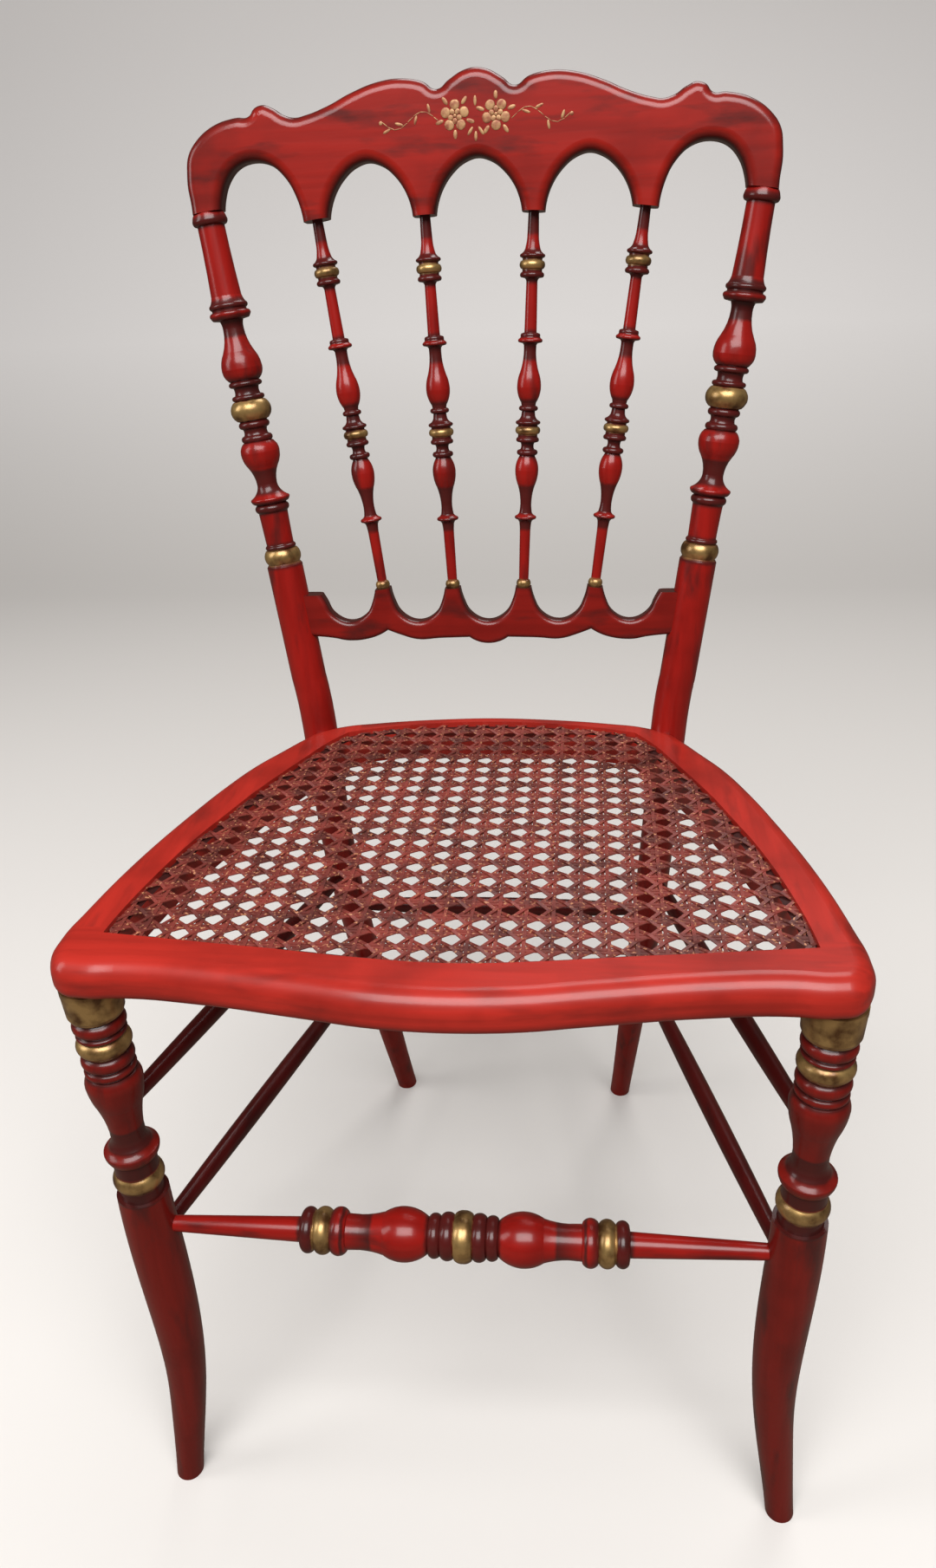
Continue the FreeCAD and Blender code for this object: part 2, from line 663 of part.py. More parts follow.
def lower_board():
    end_x = post_x + post_splay * rail_base_height
    block_x = end_x - post_radius - end_block_wide
    top = upstand_level + trim_allowance
    under = [rail_point(share, end_x) for share in rail_under_shares]
    scallop = [rail_point(share, end_x) for share in rail_scallop_shares]
    drop = scallop[-1:] + [Vector(0, 0, rail_base_height - rail_drop)]
    half = upstand_wide / 2
    outer_dip = dip(upstand_x(1) + half, block_x)
    outer_dip[-1] = Vector(block_x, 0, top - trim_allowance * 2)
    inner_dip = dip(upstand_x(0) + half, upstand_x(1) - half)
    middle_dip = dip(-upstand_x(0) + half, upstand_x(0) - half)
    corner = Vector(under[0].x, 0, outer_dip[-1].z)
    right = [
        line(under[0], corner), line(corner, outer_dip[-1]), line(outer_dip[0], inner_dip[-1]),
        line(inner_dip[0], middle_dip[-1])]
    right += curved(outer_dip) + curved(inner_dip) + curved(under) + curved(scallop)
    whole = right + [mirrored(edge) for edge in right]
    whole += curved(middle_dip) + curved(both_sides(drop))
    board = prism(face_of(whole), Vector(0, rail_thick, 0))
    board.translate(Vector(0, -rail_thick / 2, 0))
    return board


def rail_tenon(gap):
    middle = rail_base_height + rail_height / 2
    start = post_x + post_splay * middle - post_radius - rail_tenon_long
    long = 2 * rail_tenon_long
    box = Part.makeBox(
        long + gap, rail_tenon_thick + 2 * gap, rail_tenon_tall + 2 * gap,
        Vector(start, -rail_tenon_thick / 2 - gap, middle - rail_tenon_tall / 2 - gap))
    box.Placement = BACK.multiply(box.Placement)
    return box


def lower_back_rail():
    board = rounded(lower_board(), rail_thick, rail_round)
    board.Placement = BACK
    envelope = post_envelope()
    board = board.cut(envelope).cut(mirrored(envelope))
    board = one_solid(board)
    tongue = rail_tenon(0).common(envelope)
    for side in (-1, 1):
        for number in range(2):
            foot, top = spindle_ends(side, number)
            axis = (top - foot).normalize()
            board = board.cut(rod(rail_thick, foot, foot + axis * 3 * trim_allowance))
            board = board.cut(rod(spindle_tenon_radius + glue_gap, foot, foot - axis * spindle_tenon_long))
    return one_solid(one_solid(board).fuse([tongue, mirrored(tongue)]))


def spindle(side, number):
    foot, top = spindle_ends(side, number)
    axis = (top - foot).normalize()
    shaft = along(turned(foot.distanceToPoint(top), spindle_radius, spindle_profile_shares), foot, axis)
    lower = rod(spindle_tenon_radius, foot - axis * spindle_tenon_long, foot + axis * trim_allowance)
    upper = rod(spindle_tenon_radius, top - axis * trim_allowance, top + axis * spindle_tenon_long)
    return one_solid(shaft.fuse([lower, upper]).removeSplitter())


# Building and writing
def write(name, shape):
    shape.exportStep("parts/" + name + ".step")


def build():
    os.makedirs("parts", exist_ok=True)
    ring = ring_frame()
    write("seat_front_rail", seat_front_rail(ring))
    write("seat_back_rail", seat_back_rail(ring))
    side_rail = seat_side_rail(ring)
    write("seat_side_rail_right", side_rail)
    write("seat_side_rail_left", mirrored(side_rail))
    write("cane_panel", cane_panel())

    leg, leg_curve = front_leg()
    post, post_curve = rear_post(ring)
    upper_front = leg_line(1, upper_rod_front_height)
    upper_rear = at_height(post_curve, upper_rod_rear_height)
    lower_front = at_height(leg_curve, lower_rod_front_height)
    lower_rear = at_height(post_curve, lower_rod_rear_height)
    for name, front, rear in (("upper", upper_front, upper_rear), ("lower", lower_front, lower_rear)):
        along_rod = (rear - front).normalize()
        start = front + along_rod * rod_end_stop
        end = rear - along_rod * rod_end_stop
        stick = swelled_rod(start, end, side_rod_radius)
        leg = leg.cut(socket_bore(start, start + along_rod * 2 * front_leg_radius))
        post = post.cut(socket_bore(end, end - along_rod * 2 * front_leg_radius))
        write("side_stretcher_" + name + "_right", stick)
        write("side_stretcher_" + name + "_left", mirrored(stick))

    rear_middle = at_height(post_curve, rear_rod_height)
    rear_end = rear_middle - Vector(rod_end_stop, 0, 0)
    far_end = Vector(-rear_end.x, rear_end.y, rear_end.z)
    post = post.cut(socket_bore(rear_end, rear_end - Vector(2 * post_radius, 0, 0)))
    write("rear_stretcher", swelled_rod(far_end, rear_end, rear_rod_radius))

    front_end = leg_line(1, front_stretcher_height) - Vector(rod_end_stop, 0, 0)
    leg = leg.cut(socket_bore(front_end, front_end - Vector(2 * front_leg_radius, 0, 0)))
    write("front_stretcher", front_stretcher())

    leg = one_solid(leg)
    post = one_solid(post)
    write("front_leg_right", leg)
    write("front_leg_left", mirrored(leg))
    write("rear_post_right", post)
    write("rear_post_left", mirrored(post))
    start, end = dowel_line()
    dowel = rod(dowel_radius, start, end)
    write("post_dowels", Part.makeCompound([dowel, mirrored(dowel)]))

    write("crest_rail", crest_finished())
    write("lower_back_rail", lower_back_rail())
    for side, word in ((-1, "left"), (1, "right")):
        write("spindle_inner_" + word, spindle(side, 0))
        write("spindle_outer_" + word, spindle(side, 1))


build()
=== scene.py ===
# %% [markdown]
# # Dressing a red ballroom chair
# The chair comes in as finished solids, so nothing of its wood is shaped here. What this lesson adds is
# what a decorator and a caner would add: the lacquer, the dark glaze in the hollows, the gilt rings, the
# woven seat and a small gilt spray on the top rail. Last come the studio and the camera.

# %% Bring in the chair
import math

import bpy
from mathutils import Matrix, Vector


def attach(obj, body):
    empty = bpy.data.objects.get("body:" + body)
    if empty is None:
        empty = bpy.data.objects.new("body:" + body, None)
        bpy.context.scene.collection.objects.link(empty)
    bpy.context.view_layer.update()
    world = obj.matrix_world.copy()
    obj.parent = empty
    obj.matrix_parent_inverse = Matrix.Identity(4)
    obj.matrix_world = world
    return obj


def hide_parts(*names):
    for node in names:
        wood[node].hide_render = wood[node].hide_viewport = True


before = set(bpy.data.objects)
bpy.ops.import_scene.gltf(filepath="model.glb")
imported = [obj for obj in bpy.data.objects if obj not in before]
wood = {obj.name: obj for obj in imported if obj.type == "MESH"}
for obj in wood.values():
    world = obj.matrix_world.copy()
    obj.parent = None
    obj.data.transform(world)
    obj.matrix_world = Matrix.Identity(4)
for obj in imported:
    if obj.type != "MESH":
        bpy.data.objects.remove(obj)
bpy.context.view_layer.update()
bpy.ops.object.select_all(action="DESELECT")
print("loaded", len(wood), "pieces")

# %% [markdown]
# ## Where things are
# Paint follows the lathe. Each turned piece has an axis, and every ring on it is a share of the way along
# that axis, so the axes are worked out first. The back leans by five degrees, which `on_back` takes care
# of: it takes a place sideways, a height up the back and a distance out towards the sitter.

# %% Sizes and axes
MM = 0.001
seat_top = 457 * MM
half_seat = 225.5 * MM
front_y = -235.25 * MM
seat_depth = 374 * MM
post_y = 114.65 * MM
post_x = 0.605 * half_seat
post_splay = 0.132
rake = math.radians(5)
leg_inset = 19 * MM
leg_setback = 42.5 * MM
leg_lean = 0.03
leg_shoulder = 271 * MM
leg_top = 431.5 * MM
stretcher_height = 244 * MM
post_turning = (126.9 * MM, 366 * MM)
spindle_turning = (108.9 * MM, 358.5 * MM)
spindle_shares = {"inner": (0.175, 0.198), "outer": (0.524, 0.597)}
sides = ((-1, "left"), (1, "right"))


def on_back(x, up, out=0.0):
    y = post_y + up * math.sin(rake) - out * math.cos(rake)
    z = seat_top + up * math.cos(rake) + out * math.sin(rake)
    return Vector((x, y, z))


def leg_point(side, z):
    reach = half_seat - leg_inset - leg_lean * (leg_top - z)
    return Vector((side * reach, front_y + leg_setback, z))


def post_reach(up):
    return post_x + post_splay * up


axes = {}
for side, word in sides:
    low, high = post_turning
    axes["rear_post_" + word] = (on_back(side * post_reach(low), low), on_back(side * post_reach(high), high))
    low, high = spindle_turning
    for place, (foot, top) in spindle_shares.items():
        start = on_back(side * foot * post_reach(low), low)
        end = on_back(side * top * post_reach(high), high)
        axes["spindle_" + place + "_" + word] = (start, end)
    axes["front_leg_" + word] = (leg_point(side, leg_shoulder), leg_point(side, leg_top))
end = leg_point(1, stretcher_height)
axes["front_stretcher"] = (Vector((0, end.y, end.z)), end)
print("axes for", len(axes), "turned pieces")

# %% [markdown]
# ## Small helpers for shader nodes
# A finish is a stack of layers, as on the bench: red over dark, glaze over red, gold over glaze. Painted
# shade is laid in with the glaze. Each layer is a mix whose factor is a cloud of noise, a position along an
# axis, or the way that the surface faces.
# These few helpers keep the stacks short enough to read.

# %% Node helpers
MIX_SHARE, MIX_FIRST, MIX_SECOND, MIX_RESULT = 0, 6, 7, 2


def new_finish(name):
    material = bpy.data.materials.new(name)
    material.use_nodes = True
    tree = material.node_tree
    return material, tree, tree.nodes["Principled BSDF"]


def add(tree, kind, **settings):
    made = tree.nodes.new("ShaderNode" + kind)
    for name, value in settings.items():
        setattr(made, name, value)
    return made


def fill(socket, value):
    if isinstance(value, tuple):
        socket.default_value = (*value, 1)
    elif isinstance(value, (int, float)):
        socket.default_value = value
    else:
        socket.id_data.links.new(value, socket)


def mixed(tree, share, first, second):
    mix = add(tree, "Mix", data_type="RGBA")
    fill(mix.inputs[MIX_SHARE], share)
    fill(mix.inputs[MIX_FIRST], first)
    fill(mix.inputs[MIX_SECOND], second)
    return mix.outputs[MIX_RESULT]


def sums(tree, operation, first, second=0.0):
    made = add(tree, "Math", operation=operation)
    fill(made.inputs[0], first)
    fill(made.inputs[1], second)
    return made.outputs[0]


def ranged(tree, value, low, high, to_low=0.0, to_high=1.0):
    made = add(tree, "MapRange")
    fill(made.inputs[0], value)
    for number, limit in enumerate((low, high, to_low, to_high), 1):
        made.inputs[number].default_value = limit
    return made.outputs[0]


def split(tree, vector):
    made = add(tree, "SeparateXYZ")
    tree.links.new(vector, made.inputs[0])
    return made.outputs


def position(tree):
    return add(tree, "TexCoord").outputs["Object"]


def surface_normal(tree):
    return add(tree, "NewGeometry").outputs["Normal"]


def cloud(tree, stretch, detail=3.0):
    mapping = add(tree, "Mapping")
    mapping.inputs["Scale"].default_value = stretch
    noise = add(tree, "TexNoise")
    noise.inputs["Scale"].default_value = 1
    noise.inputs["Detail"].default_value = detail
    tree.links.new(position(tree), mapping.inputs["Vector"])
    tree.links.new(mapping.outputs[0], noise.inputs["Vector"])
    return noise.outputs[0]


def even(scale):
    return (scale, scale, scale)


def bump(tree, shader, height, distance, strength):
    made = add(tree, "Bump")
    made.inputs["Strength"].default_value = strength
    made.inputs["Distance"].default_value = distance
    tree.links.new(height, made.inputs["Height"])
    tree.links.new(made.outputs[0], shader.inputs["Normal"])


print("helpers ready")

# %% [markdown]
# ## Rings along an axis
# The share of the way along an axis is a dot product with the axis. It is squeezed to lie between 0.1 and
# 0.9, so that a ramp has room to fade out at both ends. A little noise on it makes the brush edge less than
# perfect. A ramp holds only 32 stops and a ring takes four, so a long list of rings is split over several.

# %% Rings along an axis
SQUEEZE_START, SQUEEZE_SPAN = 0.1, 0.8
BRUSH_WOBBLE = 0.0015
RINGS_PER_RAMP = 6


def along(tree, start, end, both_ways):
    offset = add(tree, "VectorMath", operation="SUBTRACT")
    offset.inputs[1].default_value = start
    run = end - start
    share = add(tree, "VectorMath", operation="DOT_PRODUCT")
    share.inputs[1].default_value = run * (SQUEEZE_SPAN / run.length_squared)
    tree.links.new(position(tree), offset.inputs[0])
    tree.links.new(offset.outputs[0], share.inputs[0])
    reached = share.outputs["Value"]
    if both_ways:
        reached = sums(tree, "ABSOLUTE", reached)
    least, most = SQUEEZE_START - BRUSH_WOBBLE, SQUEEZE_START + BRUSH_WOBBLE
    wobble = ranged(tree, cloud(tree, even(160)), 0.3, 0.7, least, most)
    return sums(tree, "ADD", reached, wobble)


def ramp_of(tree, share, rows, soft):
    ramp = add(tree, "ValToRGB")
    stops = ramp.color_ramp.elements
    stops[0].color = (0, 0, 0, 1)
    stops[1].color = (0, 0, 0, 1)
    for low, high in rows:
        for place, tone in ((low - soft, 0), (low, 1), (high, 1), (high + soft, 0)):
            stop = stops.new(SQUEEZE_START + SQUEEZE_SPAN * place)
            stop.color = (tone, tone, tone, 1)
    tree.links.new(share, ramp.inputs[0])
    return ramp.outputs[0]


def rings(tree, share, rows, soft):
    painted = ramp_of(tree, share, rows[:RINGS_PER_RAMP], soft)
    rest = rows[RINGS_PER_RAMP:]
    if rest:
        painted = sums(tree, "MAXIMUM", painted, rings(tree, share, rest, soft))
    return painted


gilt_rows = {
    "rear_post": [(0.008, 0.050), (0.439, 0.493)],
    "spindle": [(-0.01, 0.021), (0.4355, 0.4535), (0.8615, 0.8805)],
    "front_leg": [(0.057, 0.125), (0.7095, 0.773), (0.868, 1.01)],
    "front_stretcher": [(-0.01, 0.027), (0.415, 0.466)]}
# Dark bands in the hollows and on some rings: partly real dark glaze, partly painted shade.
glaze_and_shade_rows = {
    "rear_post": [
        (0.000, 0.006), (0.051, 0.067), (0.166, 0.198), (0.226, 0.290), (0.376, 0.437), (0.495, 0.553),
        (0.675, 0.724), (0.741, 0.770), (0.966, 0.986)],
    "spindle": [
        (0.172, 0.200), (0.216, 0.290), (0.375, 0.434), (0.455, 0.524), (0.635, 0.680), (0.690, 0.703),
        (0.832, 0.861), (0.881, 0.905), (0.950, 1.000)],
    "front_leg": [
        (0.008, 0.052), (0.132, 0.192), (0.262, 0.345), (0.605, 0.612), (0.641, 0.649), (0.699, 0.708),
        (0.775, 0.780), (0.798, 0.806), (0.855, 0.867)],
    "front_stretcher": [(0.032, 0.112), (0.290, 0.372), (0.380, 0.412), (0.468, 0.516)]}
print("rings on", len(gilt_rows), "kinds of turning")

# %% [markdown]
# ## The lacquer
# Red lacquer is never one red. Along the grain it is streaked, and in broad patches it has worn or been built
# up. Every hollow under the gold is painted nearly black, partly as a real dark glaze and partly as painted
# shade. A thin clear coat on top sharpens the highlight. `face` is for the flat boards: where the wood turns
# away from it, the rims are darkened as painted shade, and their ends are darker in noisy patches. `ledge` is
# the height of the step under the cane, which is painted dark as a shadow. The first two functions below lay
# that painted shade, the darker ends and the painted shadow.

# %% Lacquer
# One dark colour serves the glaze, the scuffs, the painted shade and the painted shadow.
GLAZE_AND_SHADE = (0.034, 0.0080, 0.007)
GOLD = (0.48, 0.30, 0.11)
OLD_GOLD = (0.13, 0.060, 0.020)
DEEP_SHARE = 0.45
HOLLOW_EDGE, HOLLOW_GLAZE_AND_SHADE = 0.009, 0.82
GILT_EDGE, GILT_METAL, GILT_ROUGH = 0.0015, 0.75, 0.36
END_DARK_FROM, END_DARK_TO = 120 * MM, 190 * MM
UPRIGHT, ACROSS, DEEPWAYS = (130, 130, 9), (9, 130, 130), (130, 9, 130)


# Painted shade on the flat boards: the further a surface turns away from `face`, the darker its colour. The
# ends are also darkened in noisy patches.
def shade_rims_darken_ends(tree, colour, face):
    facing = add(tree, "VectorMath", operation="DOT_PRODUCT")
    facing.inputs[1].default_value = face
    tree.links.new(surface_normal(tree), facing.inputs[0])
    square_on = sums(tree, "ABSOLUTE", facing.outputs["Value"])
    colour = mixed(tree, ranged(tree, square_on, 0.97, 0.35, 0, 0.85), colour, GLAZE_AND_SHADE)
    # The ends of the boards are darker in noisy patches.
    sideways = sums(tree, "ABSOLUTE", split(tree, position(tree))[0])
    ends = ranged(tree, sideways, END_DARK_FROM, END_DARK_TO, 0, 0.6)
    end_darkening = sums(tree, "MULTIPLY", ends, ranged(tree, cloud(tree, even(30), 4), 0.30, 0.65))
    return mixed(tree, end_darkening, colour, GLAZE_AND_SHADE)


# Painted shadow: the flat step just under the cane is painted dark, as if shaded by the cane.
def shade_cane_ledge(tree, colour, ledge):
    level = ranged(tree, split(tree, surface_normal(tree))[2], 0.88, 0.92)
    low = ranged(tree, split(tree, position(tree))[2], ledge + 1 * MM, ledge)
    return mixed(tree, sums(tree, "MULTIPLY", level, low), colour, GLAZE_AND_SHADE)


def lacquer(name, red, grain, kind=None, axis=None, face=None, rough=0.3, age=0.7, ledge=None):
    material, tree, shader = new_finish(name)
    deep = tuple(DEEP_SHARE * part for part in red)
    streak = cloud(tree, grain, 5)
    colour = mixed(tree, ranged(tree, streak, 0.25, 0.6, 0.45, 1), deep, red)
    patch = cloud(tree, even(19), 6)
    colour = mixed(tree, ranged(tree, patch, 0.50, 0.72, 0, 0.6), colour, deep)
    scuff = cloud(tree, tuple(0.45 * part + 12 for part in grain), 7)
    colour = mixed(tree, ranged(tree, scuff, 0.54, 0.68, 0, age), colour, GLAZE_AND_SHADE)
    if face is not None:
        colour = shade_rims_darken_ends(tree, colour, face)
    if ledge is not None:
        colour = shade_cane_ledge(tree, colour, ledge)
    if axis is None:
        shader.inputs["Roughness"].default_value = rough
    else:
        share = along(tree, *axis, kind == "front_stretcher")
        # The hollows are darkened by real glaze and painted shade together.
        hollows = rings(tree, share, glaze_and_shade_rows[kind], HOLLOW_EDGE)
        colour = mixed(tree, sums(tree, "MULTIPLY", hollows, HOLLOW_GLAZE_AND_SHADE), colour, GLAZE_AND_SHADE)
        band = rings(tree, share, gilt_rows[kind], GILT_EDGE)
        worn = ranged(tree, cloud(tree, even(90), 4), 0.42, 0.66)
        colour = mixed(tree, band, colour, mixed(tree, worn, GOLD, OLD_GOLD))
        tree.links.new(ranged(tree, band, 0, 1, 0, GILT_METAL), shader.inputs["Metallic"])
        tree.links.new(ranged(tree, band, 0, 1, rough, GILT_ROUGH), shader.inputs["Roughness"])
    tree.links.new(colour, shader.inputs["Base Color"])
    shader.inputs["Specular IOR Level"].default_value = 0.25
    shader.inputs["Coat Weight"].default_value = 0.35
    shader.inputs["Coat Roughness"].default_value = 0.5 * rough
    bump(tree, shader, streak, distance=0.4 * MM, strength=0.25)
    return material


def dress(name, material):
    wood[name].data.materials.clear()
    wood[name].data.materials.append(material)


print("lacquer mixed")

# %% [markdown]
# ## Turned pieces
# Posts, spindles, front legs and the front stretcher each get the lacquer along their own axis. The front
# legs are a deep maroon: partly a darker stain from boots and mops, partly painted shade from under the seat.

# %% Dress the turned pieces
RED = (0.28, 0.008, 0.005)
# Front legs: partly a darker stain, partly painted shade from under the seat.
LEG_STAIN_AND_SHADE = (0.16, 0.008, 0.005)


def kind_of(name):
    for word in ("_left", "_right", "_inner", "_outer"):
        name = name.replace(word, "")
    return name


for name, axis in axes.items():
    kind = kind_of(name)
    red = LEG_STAIN_AND_SHADE if kind == "front_leg" else RED
    grain = ACROSS if kind == "front_stretcher" else UPRIGHT
    dress(name, lacquer(name + "_lacquer", red, grain, kind, axis))
print("dressed", len(axes), "turned pieces")

# %% [markdown]
# ## Boards, seat frame and rods
# The boards of the back face the sitter, so their rims get painted shade where they turn away from the
# sitter. The seat frame is given the brightest red on the chair and fewer scuffs, and the step under its cane
# is painted dark as a shadow. The plain rods below are darker than the legs.

# %% Dress the boards and rods
CREST_RED = (0.29, 0.011, 0.006)
LOWER_RED = (0.20, 0.008, 0.005)
SEAT_RED = (0.40, 0.020, 0.012)
ROD_RED = (0.085, 0.006, 0.005)
cane_ledge = seat_top - 3.5 * MM
to_sitter = Vector((0, -math.cos(rake), math.sin(rake)))
dress("crest_rail", lacquer("crest_lacquer", CREST_RED, ACROSS, face=to_sitter))
dress("lower_back_rail", lacquer("lower_rail_lacquer", LOWER_RED, ACROSS, face=to_sitter))
polish = {"rough": 0.36, "age": 0.35, "ledge": cane_ledge}
frame_across = lacquer("seat_rail_lacquer", SEAT_RED, ACROSS, **polish)
frame_deep = lacquer("seat_side_lacquer", SEAT_RED, DEEPWAYS, **polish)
for name in ("seat_front_rail", "seat_back_rail"):
    dress(name, frame_across)
for name in ("seat_side_rail_left", "seat_side_rail_right"):
    dress(name, frame_deep)
rod = lacquer("rod_lacquer", ROD_RED, DEEPWAYS)
for name in wood:
    if name.startswith("side_stretcher") or name == "rear_stretcher":
        dress(name, rod)
print("dressed the boards, the seat frame and the rods")

# %% [markdown]
# ## Weaving the seat
# A six-way cane seat has pairs of strands running front to back and side to side, and two sets of diagonals
# that cut the corners of the squares, which leaves the octagonal eyes. One strand of each set is made as a
# short strip, which waves on the diagonals. One array runs it out to its full length and another sets it
# side by side. The ends are cut off under the wood of the frame, as the real ones are pegged into it.

# %% Strands
PITCH = 15.5 * MM
WIDE = 2.2 * MM
THICK = 0.55 * MM
WELD = 0.01 * MM
cane_level = seat_top - 3.0 * MM
weave_middle = front_y + 0.53 * seat_depth
eyes_wide, eyes_deep = 28, 22
left_x = -eyes_wide / 2 * PITCH
near_y = weave_middle - eyes_deep / 2 * PITCH
pair_offset = 0.62 * WIDE
pair_lift = 0.95 * THICK


def apply_modifier(obj, kind, **settings):
    made = obj.modifiers.new(kind.lower(), kind)
    for name, value in settings.items():
        setattr(made, name, value)
    bpy.ops.object.modifier_apply(modifier=made.name)


def pick(obj, test):
    bpy.ops.object.mode_set(mode="EDIT")
    bpy.ops.mesh.select_all(action="DESELECT")
    bpy.ops.object.mode_set(mode="OBJECT")
    for vertex in obj.data.vertices:
        vertex.select = test(vertex.co)
    bpy.ops.object.mode_set(mode="EDIT")


def join_all(pieces, name):
    bpy.ops.object.select_all(action="DESELECT")
    for obj in pieces:
        obj.select_set(True)
    bpy.context.view_layer.objects.active = pieces[0]
    bpy.ops.object.join()
    joined = bpy.context.object
    joined.name = name
    return joined


def strand(name, unit, repeats, swing, turn, start, step, count):
    bpy.ops.mesh.primitive_grid_add(x_subdivisions=4, y_subdivisions=1, size=1)
    obj = bpy.context.object
    obj.name = name
    obj.scale = (unit, WIDE, 1)
    bpy.ops.object.transform_apply(location=False, rotation=False, scale=True)
    bpy.ops.object.mode_set(mode="EDIT")
    bpy.ops.mesh.select_mode(type="VERT")
    middle, ends = 0.1 * unit, 0.4 * unit
    pick(obj, lambda point: abs(point.x) < middle)
    bpy.ops.transform.translate(value=(0, 0, swing))
    pick(obj, lambda point: abs(point.x) > ends)
    bpy.ops.transform.translate(value=(0, 0, -swing))
    bpy.ops.object.mode_set(mode="OBJECT")
    apply_modifier(obj, "ARRAY", count=repeats, use_merge_vertices=True, merge_threshold=WELD)
    apply_modifier(obj, "SOLIDIFY", thickness=THICK, offset=0)
    obj.rotation_euler.z = math.radians(turn)
    obj.location = start
    bpy.ops.object.transform_apply(location=True, rotation=True, scale=True)
    apply_modifier(
        obj, "ARRAY", count=count, use_relative_offset=False, use_constant_offset=True,
        constant_offset_displace=step)
    return obj


strands = []
for number, side in enumerate((-1, 1)):
    beside = PITCH / 2 + side * pair_offset
    start = Vector((left_x + beside, near_y, cane_level + side * pair_lift))
    name = "lengthways_%d" % number
    strands.append(strand(name, PITCH, eyes_deep, 0, 90, start, (PITCH, 0, 0), eyes_wide))
    start = Vector((left_x, near_y + beside, cane_level))
    name = "crossways_%d" % number
    strands.append(strand(name, PITCH, eyes_wide, 0, 0, start, (0, PITCH, 0), eyes_deep))
print("made", len(strands), "sets of straight strands")

# %% [markdown]
# A diagonal crosses one eye for each step it takes to the back, so one strip is as long as an eye's diagonal.
# The two sets wave in opposite ways, so that one passes over where the other passes under.

# %% Diagonals
slant = PITCH * math.sqrt(2)
wave = 1.5 * THICK
diagonal_lift = 0.5 * THICK
leaning = ((45, left_x - eyes_deep * PITCH, wave), (135, left_x, -wave))
for number, (turn, from_x, swing) in enumerate(leaning):
    start = Vector((from_x + PITCH / 2, near_y, cane_level + diagonal_lift))
    name = "diagonal_%d" % number
    count = eyes_wide + eyes_deep
    strands.append(strand(name, slant, eyes_deep, swing, turn, start, (PITCH, 0, 0), count))
print("made the diagonals")

# %% [markdown]
# The strands are joined and cut to the seat. The outline is a rough one, a little larger than the opening:
# what is left beyond the opening is inside the wood. It is given for the right half, as shares of the seat's
# half width and depth, and mirrored.

# %% Cut the seat to shape
half_outline_shares = [
    (0.0, 0.970), (0.22, 0.962), (0.512, 0.918), (0.575, 0.850), (0.625, 0.777), (0.668, 0.712),
    (0.720, 0.632), (0.768, 0.540), (0.812, 0.455), (0.849, 0.362), (0.873, 0.283), (0.892, 0.211),
    (0.902, 0.126), (0.77, 0.118), (0.555, 0.102), (0.342, 0.086), (0.226, 0.077), (0.0, 0.067)]
outline = [(x * half_seat, front_y + y * seat_depth) for x, y in half_outline_shares]
outline += [(-x, y) for x, y in outline[-2:0:-1]]


def inside(x, y):
    found = False
    for (x1, y1), (x2, y2) in zip(outline, outline[1:] + outline[:1]):
        if (y1 > y) != (y2 > y) and x < x1 + (y - y1) / (y2 - y1) * (x2 - x1):
            found = not found
    return found


cane = join_all(strands, "cane_weave")
bpy.ops.object.mode_set(mode="EDIT")
bpy.ops.mesh.select_mode(type="FACE")
bpy.ops.mesh.select_all(action="DESELECT")
bpy.ops.object.mode_set(mode="OBJECT")
for face in cane.data.polygons:
    face.select = not inside(face.center.x, face.center.y)
bpy.ops.object.mode_set(mode="EDIT")
bpy.ops.mesh.delete(type="FACE")
bpy.ops.mesh.select_mode(type="VERT")
bpy.ops.mesh.select_all(action="DESELECT")
bpy.ops.mesh.select_non_manifold()
bpy.ops.mesh.edge_face_add()
bpy.ops.mesh.select_all(action="SELECT")
bpy.ops.mesh.normals_make_consistent(inside=False)
bpy.ops.object.mode_set(mode="OBJECT")
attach(cane, "root")
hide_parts("cane_panel")
print("the cane has", len(cane.data.polygons), "faces")

# %% [markdown]
# Old paint on cane goes brown in places and rubs off in specks, which show paler. The same pale specks also
# stand in for painted glints of light on the strands.

# %% Cane paint
CANE_RED = (0.22, 0.034, 0.024)
CANE_BROWN = (0.085, 0.018, 0.014)
CANE_WEAR_AND_GLINT = (0.50, 0.22, 0.11)
paint, tree, shader = new_finish("painted_cane")
tone = ranged(tree, cloud(tree, even(60), 4), 0.35, 0.65)
colour = mixed(tree, tone, CANE_RED, CANE_BROWN)
# Pale specks: partly rubbed-off paint, partly painted glints of light.
wear_and_glint = ranged(tree, cloud(tree, even(420), 2), 0.60, 0.70)
colour = mixed(tree, wear_and_glint, colour, CANE_WEAR_AND_GLINT)
tree.links.new(colour, shader.inputs["Base Color"])
shader.inputs["Roughness"].default_value = 0.42
cane.data.materials.append(paint)
print("painted the cane")

# %% [markdown]
# ## A gilt spray on the top rail
# Chairs like this carry a small painted spray in the middle of the crest. This one is a plain pattern of two
# open blossoms with leaves and a sprig to each side, laid on in single brush strokes. Every stroke is a ball
# pressed nearly flat on the board, so the strokes stand up a little, as thick gold paint does. Places and
# sizes in this cell are in millimetres.

# %% Brush strokes
board_front = 10.5 * MM
stroke_thick = 0.5 * MM
blossom_apart, blossom_up = 13.2, 414.5
PETALS = 5
half_petal = 180 / PETALS
sprig_start, sprig_run, sprig_up = 25, 34, 413
sprig_wave, sprig_bend = 4.5, 6
leaf_reach, leaf_fold = 3.4, 48
stem_strokes = 9
strokes = []


